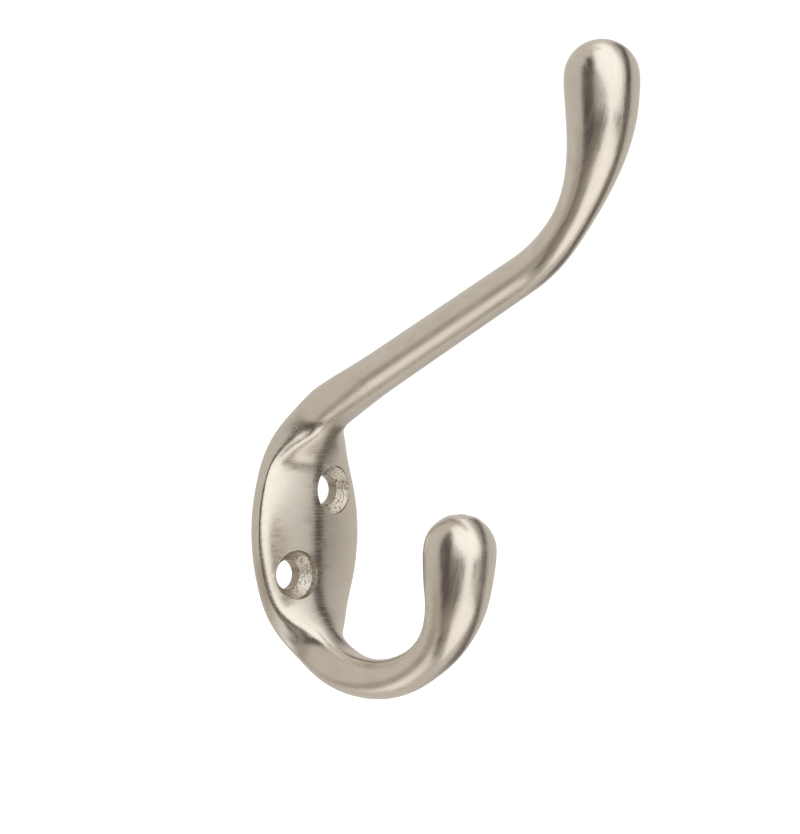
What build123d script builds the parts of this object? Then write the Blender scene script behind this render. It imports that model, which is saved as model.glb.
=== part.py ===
from build123d import *
from build123d.topology import SkipClean
import os
from math import cos, hypot, pi, radians, sin, sqrt, tan

# Double coat-and-hat hook, cast in one piece. A leaf-shaped plate lies flat on the wall, which is the plane
# Y = 0, with the centre of its back at the origin. Both arms stand forward of it along -Y, and +Z is up.
# All lengths are in millimetres and all angles in degrees.

# Wall plate, a leaf between two arcs with a low ridge down its middle
PLATE_LENGTH = 48.2
PLATE_WIDTH = 22.6
PLATE_EDGE = 3.5
PLATE_HEEL = 0.7
PLATE_CROWN = 1.5
RIDGE_ROUNDING = 1.5
RIM_SQUARENESS = 4.5

# Upper prong, which leaves the plate in a bend, runs up at a slope and bends upright under its knob
PRONG_START = 11.15
PRONG_ROOT_BEND = 12.0
PRONG_SLOPE = 24.1
PRONG_REACH = 75.2
PRONG_BEND = 31.0
PRONG_SHANK = 3.2
PRONG_ROOT_DIAMETER = 7.8
PRONG_NECK_DIAMETER = 6.3
PRONG_KNOB_DIAMETER = 12.4
PRONG_TAPER = 27.0

# Lower hook, a bowl between a bend at the plate and a bend under its knob, which leans outwards
HOOK_START = 11.15
HOOK_ROOT_BEND = 12.0
HOOK_ROOT_TURN = 59.7
HOOK_REACH = 41.3
HOOK_TIP_BEND = 15.7
HOOK_TIP_TURN = 49.0
HOOK_LEAN = 5.0
HOOK_SHANK = 6.4
HOOK_ROOT_DIAMETER = 7.4
HOOK_NECK_DIAMETER = 6.7
HOOK_KNOB_DIAMETER = 12.4
HOOK_TAPER = 24.0

# Where the plate's section turns into an arm's, along the centreline from the plate's centre
THICKENING_START = 9.0
FRONT_THICKENING_END = 21.0
BACK_THICKENING_END = 30.0
ROUNDING_START = 13.0
ROUNDING_END = 40.0

# Screw holes through the plate, one on each side of the ridge, for flat-headed wood screws
SCREW_BORE = 5.2
SCREW_SEAT = 8.5
BORE_DEPTH = 1.9
SEAT_ANGLE = 90.0
HOLE_OFFSET = 4.25
HOLE_HEIGHT = 7.3

# The side view's plane, with its own x forward of the wall and its own y up
SIDE = Plane(origin=(0, 0, 0), x_dir=(0, -1, 0), z_dir=(-1, 0, 0))

# Relative steps between a section's points from its front round to its back, shorter at the ridge and the rim
POINT_STEPS = [9, 11, 16, 9, 9, 16, 20, 20, 16, 9, 9, 16, 20]

# Spacing of the sections along an arm, and latitudes of those that close a knob, the last a small flat
SECTION_STEP = 3.0
CAP_ANGLES = [20, 40, 58, 74, 85]

# How sharply the leaf's outline turns into an arm's, and the length of the faces along an arm's skin
OUTLINE_POWER = 4
SKIN_STRIP = 15.0


def ease(share):
    """A smooth step from 0 to 1."""
    held = min(max(share, 0.0), 1.0)
    return (1 - cos(pi * held)) / 2


def leaf_half_width(along):
    """Half the leaf's width at a distance from its middle, with nothing past its tips."""
    radius = (PLATE_LENGTH**2 + PLATE_WIDTH**2) / (4 * PLATE_WIDTH)
    if along >= PLATE_LENGTH / 2:
        return 0.0
    return sqrt(radius**2 - along**2) - (radius - PLATE_WIDTH / 2)


def prong_path():
    """Centreline of the upper prong in the side view, from the plate's centre to the knob's."""
    slope = radians(PRONG_SLOPE)
    turn = 90 - PRONG_SLOPE
    bends_forward = (PRONG_ROOT_BEND + PRONG_BEND) * (1 - sin(slope))
    run_length = (PRONG_REACH - PLATE_EDGE / 2 - bends_forward) / cos(slope)
    plate = Line((PLATE_EDGE / 2, 0), (PLATE_EDGE / 2, PRONG_START))
    root = JernArc(plate @ 1, plate % 1, PRONG_ROOT_BEND, -turn)
    run = Line(root @ 1, (root @ 1) + (root % 1) * run_length)
    bend = JernArc(run @ 1, run % 1, PRONG_BEND, turn)
    shank = Line(bend @ 1, (bend @ 1) + (bend % 1) * PRONG_SHANK)
    return SIDE * Wire([plate, root, run, bend, shank])


def hook_path():
    """Centreline of the lower hook in the side view, from the plate's centre to the knob's."""
    bowl_turn = 180 - HOOK_LEAN - HOOK_ROOT_TURN - HOOK_TIP_TURN
    lean = radians(HOOK_LEAN)
    dip = radians(90 - HOOK_ROOT_TURN)
    climb = radians(90 - HOOK_LEAN - HOOK_TIP_TURN)
    ends_forward = HOOK_ROOT_BEND * (1 - sin(dip)) + HOOK_TIP_BEND * (cos(lean) - sin(climb))
    bowl_forward = HOOK_REACH - PLATE_EDGE / 2 - ends_forward - HOOK_SHANK * sin(lean)
    plate = Line((PLATE_EDGE / 2, 0), (PLATE_EDGE / 2, -HOOK_START))
    root = JernArc(plate @ 1, plate % 1, HOOK_ROOT_BEND, HOOK_ROOT_TURN)
    bowl = JernArc(root @ 1, root % 1, bowl_forward / (sin(dip) + sin(climb)), bowl_turn)
    bend = JernArc(bowl @ 1, bowl % 1, HOOK_TIP_BEND, HOOK_TIP_TURN)
    shank = Line(bend @ 1, (bend @ 1) + (bend % 1) * HOOK_SHANK)
    return SIDE * Wire([plate, root, bowl, bend, shank])


def section_angles():
    """Directions of a section's points, in degrees from its front and once round from its back."""
    half_turn = [180 * sum(POINT_STEPS[:count]) / sum(POINT_STEPS) for count in range(len(POINT_STEPS) + 1)]
    return [360 - angle for angle in reversed(half_turn)] + [360 + angle for angle in half_turn[1:-1]]


def section(plane, half_width, front, back, squareness, crown):
    """One closed section, from an arm's circle, of squareness 2, to the plate's squarer oval with its ridge."""
    points = []
    angles = section_angles()
    full_fall = hypot(half_width, RIDGE_ROUNDING) - RIDGE_ROUNDING
    for angle in angles:
        across = sin(radians(angle))
        forward = cos(radians(angle))
        reach = (abs(across) ** squareness + abs(forward) ** squareness) ** (-1 / squareness)
        depth = front if forward > 0 else back
        rise = depth * reach * forward
        offset = half_width * reach * across
        if forward > 0:
            fall = hypot(offset, RIDGE_ROUNDING) - RIDGE_ROUNDING
            rise += crown * (1 - fall / full_fall)
        points.append(plane.from_local_coords((offset, -rise)))
    parameters = [angle - angles[0] for angle in angles] + [360]
    return Wire(Edge.make_spline(points, periodic=True, parameters=parameters))


def arm_sections(path, outward, root_radius, neck_radius, knob_radius, taper):
    """Sections of one arm from the plate's centre to the end of its knob, which closes on a small flat."""
    length = path.length
    neck = length - taper
    count = round(length / SECTION_STEP)
    heel = PLATE_EDGE / 2 + PLATE_HEEL
    sections = []
    for step in range(count + 1):
        stop = length * step / count
        thick = ease((stop - THICKENING_START) / (FRONT_THICKENING_END - THICKENING_START))
        deep = ease((stop - THICKENING_START) / (BACK_THICKENING_END - THICKENING_START))
        square = 1 - ease((stop - ROUNDING_START) / (ROUNDING_END - ROUNDING_START))
        shaft = root_radius + (neck_radius - root_radius) * min(stop / neck, 1.0)
        radius = shaft + (knob_radius - shaft) * ease((stop - neck) / taper)
        half_width = (leaf_half_width(stop) ** OUTLINE_POWER + radius**OUTLINE_POWER) ** (1 / OUTLINE_POWER)
        front = PLATE_EDGE / 2 + (radius - PLATE_EDGE / 2) * thick
        back = heel + (radius - heel) * deep
        squareness = 2 + (RIM_SQUARENESS - 2) * square
        middle = path.position_at(stop, PositionMode.LENGTH)
        along = path.tangent_at(stop, PositionMode.LENGTH)
        plane = Plane(origin=middle, x_dir=(1, 0, 0), z_dir=along * outward)
        sections.append(section(plane, half_width, front, back, squareness, PLATE_CROWN * (1 - deep)))
    for latitude in CAP_ANGLES:
        radius = knob_radius * cos(radians(latitude))
        rise = along * knob_radius * sin(radians(latitude))
        plane = Plane(origin=middle + rise, x_dir=(1, 0, 0), z_dir=along * outward)
        sections.append(section(plane, radius, radius, radius, 2, 0))
    return sections


def divided(body, path):
    """The same solid with an arm's skin divided across into shorter faces."""
    blade_size = PLATE_WIDTH + 2 * SECTION_STEP
    pieces = [body]
    stop = BACK_THICKENING_END
    while stop < path.length:
        middle = path.position_at(stop, PositionMode.LENGTH)
        along = path.tangent_at(stop, PositionMode.LENGTH)
        blade = Face.make_rect(blade_size, blade_size, Plane(origin=middle, x_dir=(1, 0, 0), z_dir=along))
        pieces = [half for piece in pieces for half in piece.split(blade, keep=Keep.ALL).solids()]
        stop += SKIN_STRIP
    with SkipClean():
        return pieces[0].fuse(*pieces[1:])


def screw_hole(x, z):
    """A straight bore with a cone above it and a straight-sided seat up to the plate's front."""
    bore = SCREW_BORE / 2
    seat = SCREW_SEAT / 2
    cone = BORE_DEPTH + (seat - bore) / tan(radians(SEAT_ANGLE / 2))
    front = cone + PLATE_EDGE + PLATE_CROWN
    behind = -PLATE_EDGE
    outline = Polyline(
        (0, behind), (bore, behind), (bore, BORE_DEPTH), (seat, cone), (seat, front), (0, front), close=True
    )
    cutter = revolve(make_face(Plane.XZ * outline), axis=Axis.Z)
    return Pos(x, 0, z) * Rot(90, 0, 0) * cutter


# Both arms and the plate are one skin, cut flat where it lies on the wall
prong_line = prong_path()
prong_neck = PRONG_NECK_DIAMETER / 2
prong = arm_sections(prong_line, 1, PRONG_ROOT_DIAMETER / 2, prong_neck, PRONG_KNOB_DIAMETER / 2, PRONG_TAPER)
hook_line = hook_path()
hook_neck = HOOK_NECK_DIAMETER / 2
lower = arm_sections(hook_line, -1, HOOK_ROOT_DIAMETER / 2, hook_neck, HOOK_KNOB_DIAMETER / 2, HOOK_TAPER)
skin = Solid.make_loft(lower[:0:-1] + prong)
wall = Pos(0, PLATE_WIDTH / 2, 0) * Box(2 * PLATE_WIDTH, PLATE_WIDTH, 2 * PLATE_LENGTH)
casting = skin - wall - screw_hole(HOLE_OFFSET, HOLE_HEIGHT) - screw_hole(-HOLE_OFFSET, -HOLE_HEIGHT)
hook = divided(divided(casting, prong_line), hook_line)
os.makedirs("parts", exist_ok=True)
export_step(hook, "parts/hook.step")
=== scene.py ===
import math
import bpy
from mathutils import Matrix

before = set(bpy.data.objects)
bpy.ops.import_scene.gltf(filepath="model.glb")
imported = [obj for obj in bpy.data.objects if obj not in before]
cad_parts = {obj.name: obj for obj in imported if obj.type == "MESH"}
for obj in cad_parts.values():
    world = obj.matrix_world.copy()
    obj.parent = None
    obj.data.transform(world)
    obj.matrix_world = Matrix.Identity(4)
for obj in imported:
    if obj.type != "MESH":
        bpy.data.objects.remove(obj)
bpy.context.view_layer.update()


# The hook is one zinc die casting, plated with nickel and brushed to a satin sheen. The leaf-shaped plate,
# both arms and their knobs come out of one mould, and only the screw seats keep the rough cast skin.
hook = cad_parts["hook"]


def linear(hex_colour):
    """An sRGB hex colour as linear red, green, blue and alpha."""
    channels = [int(hex_colour[i:i + 2], 16) / 255 for i in (0, 2, 4)]
    return [c / 12.92 if c <= 0.04045 else ((c + 0.055) / 1.055) ** 2.4 for c in channels] + [1.0]


def add_node(tree, kind, settings=None, values=None, links=None):
    """One node with its settings, its fixed inputs and the sockets that feed it."""
    node = tree.nodes.new(kind)
    for name, value in (settings or {}).items():
        setattr(node, name, value)
    for name, value in (values or {}).items():
        node.inputs[name].default_value = value
    for name, socket in (links or {}).items():
        tree.links.new(socket, node.inputs[name])
    return node


satin_nickel = bpy.data.materials.new("satin_nickel_brushed")
satin_nickel.use_nodes = True
tree = satin_nickel.node_tree
shader = tree.nodes["Principled BSDF"]
shader.inputs["Metallic"].default_value = 1.0
place = add_node(tree, "ShaderNodeTexCoord").outputs["Object"]
axes = add_node(tree, "ShaderNodeSeparateXYZ", links={"Vector": place}).outputs

# Brush lines 0.35 mm apart, drawn coarser than the real ones of 0.1 mm so that they show at arm's length:
# level ones 16 mm long on the plate, and ones 4 mm long that run along the arms
line_spacing = 0.00035
plate_line_length = 0.016
arm_line_length = 0.004
line_scales = (
    (1 / plate_line_length, 1 / line_spacing, 1 / line_spacing),
    (1 / line_spacing, 1 / arm_line_length, 1 / arm_line_length),
)
brush_lines = []
for line_scale in line_scales:
    stretched = add_node(tree, "ShaderNodeMapping", values={"Scale": line_scale}, links={"Vector": place})
    noise = add_node(
        tree,
        "ShaderNodeTexNoise",
        values={"Scale": 1.0, "Detail": 2.0, "Roughness": 0.6},
        links={"Vector": stretched.outputs["Vector"]},
    )
    brush_lines.append(noise.outputs["Fac"])
plate_lines, arm_lines = brush_lines

# The plate's lines give way to the arms' between 6 and 14 mm from the wall
plate_lines_end = -0.006
arm_lines_start = -0.014
on_arm = add_node(
    tree,
    "ShaderNodeMapRange",
    values={"From Min": plate_lines_end, "From Max": arm_lines_start},
    links={"Value": axes["Y"]},
).outputs["Result"]
lines = add_node(tree, "ShaderNodeMix", links={0: on_arm, 2: plate_lines, 3: arm_lines}).outputs[0]

# Screw seats: all within a hole's seat wall, outside its bore and between the bore's end and a plane just
# forward of the plate, each limit with a narrow blur
hole_offset = 0.00425
hole_height = 0.0073
seat_wall = 0.00426
seat_wall_blur = 0.00002
bore_wall = 0.00265
bore_wall_blur = 0.00003
bore_end = -0.0019
bore_end_blur = 0.0001
seat_front = -0.0062
seat_front_blur = 0.0002
hole_places = ((hole_offset, 0.0, hole_height), (-hole_offset, 0.0, -hole_height))
flattened = add_node(
    tree, "ShaderNodeVectorMath", {"operation": "MULTIPLY"}, {1: (1.0, 0.0, 1.0)}, {0: place}
).outputs["Vector"]
upper, lower = [
    add_node(
        tree, "ShaderNodeVectorMath", {"operation": "DISTANCE"}, {1: hole_place}, {0: flattened}
    ).outputs["Value"]
    for hole_place in hole_places
]
from_axis = add_node(tree, "ShaderNodeMath", {"operation": "MINIMUM"}, links={0: upper, 1: lower}).outputs[0]
behind_front = add_node(
    tree,
    "ShaderNodeMapRange",
    values={"From Min": seat_front - seat_front_blur, "From Max": seat_front + seat_front_blur},
    links={"Value": axes["Y"]},
).outputs["Result"]
in_plate = add_node(
    tree,
    "ShaderNodeMapRange",
    values={"From Min": bore_end + bore_end_blur, "From Max": bore_end - bore_end_blur},
    links={"Value": axes["Y"], "To Max": behind_front},
).outputs["Result"]
outside_bore = add_node(
    tree,
    "ShaderNodeMapRange",
    values={"From Min": bore_wall - bore_wall_blur, "From Max": bore_wall + bore_wall_blur},
    links={"Value": from_axis, "To Max": in_plate},
).outputs["Result"]
in_seat = add_node(
    tree,
    "ShaderNodeMapRange",
    values={"From Min": seat_wall + seat_wall_blur, "From Max": seat_wall - seat_wall_blur},
    links={"Value": from_axis, "To Max": outside_bore},
).outputs["Result"]
in_bore = add_node(
    tree,
    "ShaderNodeMapRange",
    values={"From Min": bore_wall + bore_wall_blur, "From Max": bore_wall - bore_wall_blur},
    links={"Value": from_axis, "To Max": behind_front},
).outputs["Result"]

# Cast grains 0.4 mm across, the lowest of them pits darkened with painted shade
grain_size = 0.0004
pit_shade_start = 0.45
pit_shade_full = 0.36
grains = add_node(
    tree,
    "ShaderNodeTexNoise",
    values={"Scale": 1 / grain_size, "Detail": 3.0, "Roughness": 0.6},
    links={"Vector": place},
).outputs["Fac"]
cast_grains = add_node(
    tree, "ShaderNodeMath", {"operation": "MULTIPLY"}, links={0: grains, 1: in_seat}
).outputs[0]
# Painted shade: the seats' colour darkens towards the lowest grains, the pits
painted_pit_shade = add_node(
    tree,
    "ShaderNodeMapRange",
    values={"From Min": pit_shade_start, "From Max": pit_shade_full},
    links={"Value": grains, "To Max": in_seat},
).outputs["Result"]

# Warm grey nickel, lighter along some brush lines, with painted shade in the seats' pits and a duller bore
brushed_colour = add_node(
    tree, "ShaderNodeMix", {"data_type": "RGBA"}, {6: linear("C4BCAE"), 7: linear("E8E2D8")}, {0: lines}
).outputs[2]
pit_shaded_colour = add_node(
    tree, "ShaderNodeMix", {"data_type": "RGBA"}, {7: linear("7D735F")}, {0: painted_pit_shade, 6: brushed_colour}
).outputs[2]
colour = add_node(
    tree, "ShaderNodeMix", {"data_type": "RGBA"}, {7: linear("A89E8F")}, {0: in_bore, 6: pit_shaded_colour}
).outputs[2]
tree.links.new(colour, shader.inputs["Base Color"])

# A satin roughness that varies with the brush lines, whose noise mostly lies between 0.3 and 0.7, and an
# even one in the seats
smoothest_line = 0.22
roughest_line = 0.32
seat_roughness = 0.3
brushed_roughness = add_node(
    tree,
    "ShaderNodeMapRange",
    values={"From Min": 0.3, "From Max": 0.7, "To Min": smoothest_line, "To Max": roughest_line},
    links={"Value": lines},
).outputs["Result"]
roughness = add_node(
    tree, "ShaderNodeMix", values={3: seat_roughness}, links={0: in_seat, 2: brushed_roughness}
).outputs[0]
tree.links.new(roughness, shader.inputs["Roughness"])

# Bump heights at full strength: 0.03 mm for the brush lines and 0.22 mm for the cast grains
line_height = 0.00003
grain_height = 0.00022
brushed = add_node(
    tree, "ShaderNodeBump", values={"Strength": 0.15, "Distance": line_height}, links={"Height": lines}
)
cast = add_node(
    tree,
    "ShaderNodeBump",
    values={"Strength": 0.65, "Distance": grain_height},
    links={"Height": cast_grains, "Normal": brushed.outputs["Normal"]},
)
tree.links.new(cast.outputs["Normal"], shader.inputs["Normal"])
hook.data.materials.clear()
hook.data.materials.append(satin_nickel)

# Floor: a table covered with matt white paper, well below the hook, which hangs in front of plain white.
# The paper glows a little so that it stays white, and the metal doesn't mirror it.
floor_centre = (0.0, 3.3, -0.25)
floor_size = (12.0, 8.0, 1.0)
paper_glow = 0.45
bpy.ops.object.select_all(action="DESELECT")
bpy.ops.mesh.primitive_plane_add(size=1.0, location=floor_centre)
floor = bpy.context.object
floor.name = "studio_floor"
floor.scale = floor_size
bpy.ops.object.transform_apply(location=True, rotation=True, scale=True)
paper = bpy.data.materials.new("white_studio_paper")
paper.use_nodes = True
paper_shader = paper.node_tree.nodes["Principled BSDF"]
paper_shader.inputs["Base Color"].default_value = linear("F4F3F0")
paper_shader.inputs["Roughness"].default_value = 0.9
paper_shader.inputs["Emission Color"].default_value = linear("FFFFFF")
paper_shader.inputs["Emission Strength"].default_value = paper_glow
floor.data.materials.append(paper)
floor.visible_glossy = False

# Studio light: a white tent all round with a broad softbox in front and above it. The metal shows the tent's
# panels and the dark gaps between them, so each is placed by its direction in degrees from the hook.
world = bpy.data.worlds.new("white_tent")
bpy.context.scene.world = world
world.use_nodes = True
sky = world.node_tree
direction = add_node(sky, "ShaderNodeTexCoord").outputs["Generated"]
parts = add_node(sky, "ShaderNodeSeparateXYZ", links={"Vector": direction}).outputs
front = add_node(sky, "ShaderNodeMath", {"operation": "MULTIPLY"}, {1: -1.0}, {0: parts["Y"]}).outputs[0]
turn = add_node(sky, "ShaderNodeMath", {"operation": "ARCTAN2"}, links={0: parts["X"], 1: front}).outputs[0]
lift = add_node(sky, "ShaderNodeMath", {"operation": "ARCSINE"}, links={0: parts["Z"]}).outputs[0]
pitch = add_node(sky, "ShaderNodeMath", {"operation": "ARCTAN2"}, links={0: parts["Z"], 1: front}).outputs[0]
right = add_node(sky, "ShaderNodeMath", {"operation": "ARCSINE"}, links={0: parts["X"]}).outputs[0]
camera_turn = math.radians(-42)
beside = add_node(
    sky,
    "ShaderNodeVectorMath",
    {"operation": "DOT_PRODUCT"},
    {1: (math.cos(camera_turn), math.sin(camera_turn), 0.0)},
    {0: direction},
).outputs["Value"]
aside = add_node(sky, "ShaderNodeMath", {"operation": "ARCSINE"}, links={0: beside}).outputs[0]

# The softbox narrows downwards and the table narrows upwards to a waist where they meet, low in front
waist_lift = math.radians(-17)
left_widening = 1.1
right_widening = -3.0
above_waist = add_node(
    sky, "ShaderNodeMath", {"operation": "SUBTRACT"}, {1: waist_lift}, {0: lift}
).outputs[0]
from_waist = add_node(sky, "ShaderNodeMath", {"operation": "ABSOLUTE"}, links={0: above_waist}).outputs[0]
left_edge, right_edge = [
    add_node(
        sky, "ShaderNodeMath", {"operation": "MULTIPLY_ADD"}, {1: widening}, {0: from_waist, 2: turn}
    ).outputs[0]
    for widening in (left_widening, right_widening)
]

# Each panel has a name, a colour, a level and its edges: an angle, where the panel ends and where it is full
panels = (
    (
        "low gap", "FFF0E2", 0.22,
        ((lift, -46, -30), (lift, -4, -14), (turn, -76, -66), (turn, 40, 5)),
    ),
    (
        "table", "FFFDFA", 1.35,
        ((lift, -16, -20), (left_edge, -26, -14), (right_edge, -2, -14), (turn, 44, 30)),
    ),
    (
        "low card behind on the left", "FFFDFA", 1.25,
        ((lift, -72, -62), (lift, -38, -47), (turn, -168, -150), (turn, -112, -120)),
    ),
    (
        "shade above that card", "FFF0E2", 0.50,
        ((lift, -38, -32), (lift, -10, -18), (turn, -160, -145), (turn, -112, -118)),
    ),
    (
        "left gap, lower part", "FFF0E2", 0.38,
        ((turn, -112, -104), (turn, -58, -74), (lift, -30, -50)),
    ),
    (
        "left gap", "FFF0E2", 0.13,
        ((turn, -112, -104), (turn, -58, -74), (lift, -46, -26), (lift, 75, 50)),
    ),
    (
        "low slit on the left", "FFF0E2", 0.03,
        ((turn, -116, -108), (turn, -92, -100), (lift, -34, -44), (lift, -68, -60)),
    ),
    (
        "right gap, lower part", "FFF0E2", 0.20,
        ((right, 27, 36), (right, 62, 54), (turn, 130, 105), (lift, -10, -30)),
    ),
    (
        "right gap", "FFF0E2", 0.04,
        ((right, 27, 36), (right, 58, 50), (turn, 130, 105), (lift, -34, -14), (lift, 62, 40)),
    ),
    (
        "softbox", "FFFFFF", 1.42,
        ((aside, -24, -17), (right, 28, 16), (lift, -20, -16), (pitch, 125, 100),
         (left_edge, -26, -14), (right_edge, -2, -14)),
    ),
)
tent_level = 0.72
tent_colour = [tent_level * channel for channel in linear("FFFAF4")[:3]] + [1.0]
glow = None
for panel_name, hex_colour, level, edges in panels:
    share = None
    for angle, none_at, full_at in edges:
        links = {"Value": angle}
        if share:
            links["To Max"] = share
        share = add_node(
            sky,
            "ShaderNodeMapRange",
            {"interpolation_type": "SMOOTHSTEP"},
            {"From Min": math.radians(none_at), "From Max": math.radians(full_at)},
            links,
        ).outputs["Result"]
    links = {0: share}
    if glow:
        links[6] = glow
    panel_colour = [level * channel for channel in linear(hex_colour)[:3]] + [1.0]
    glow = add_node(
        sky,
        "ShaderNodeMix",
        {"data_type": "RGBA", "label": panel_name},
        {6: tent_colour, 7: panel_colour},
        links,
    ).outputs[2]
tent = add_node(sky, "ShaderNodeBackground", links={"Color": glow})

# The camera itself sees plain white behind the hook
backdrop_level = 1.05
backdrop = sky.nodes["Background"]
backdrop.inputs["Color"].default_value = linear("FFFFFF")
backdrop.inputs["Strength"].default_value = backdrop_level
camera_ray = add_node(sky, "ShaderNodeLightPath").outputs["Is Camera Ray"]
seen = add_node(
    sky, "ShaderNodeMixShader", links={0: camera_ray, 1: tent.outputs[0], 2: backdrop.outputs[0]}
)
sky.links.new(seen.outputs[0], sky.nodes["World Output"].inputs["Surface"])

# Camera: level, 0.8 m away and turned to the left of the hook, as the photograph was taken. Its axis passes
# 17.6 mm to the right of the plate's centre and 20 mm above it.
camera_distance = 0.8
aim_right = 0.0176
aim_height = 0.02
camera_data = bpy.data.cameras.new("photo_camera")
camera_data.sensor_fit = "VERTICAL"
camera_data.sensor_height = 36.0
camera_data.lens = 198.2
camera = bpy.data.objects.new("photo_camera", camera_data)
bpy.context.scene.collection.objects.link(camera)
camera.location = (
    camera_distance * math.sin(camera_turn) + aim_right * math.cos(camera_turn),
    -camera_distance * math.cos(camera_turn) + aim_right * math.sin(camera_turn),
    aim_height,
)
camera.rotation_euler = (math.radians(90), 0.0, camera_turn)
bpy.context.scene.camera = camera
bpy.context.scene.view_settings.view_transform = "Standard"
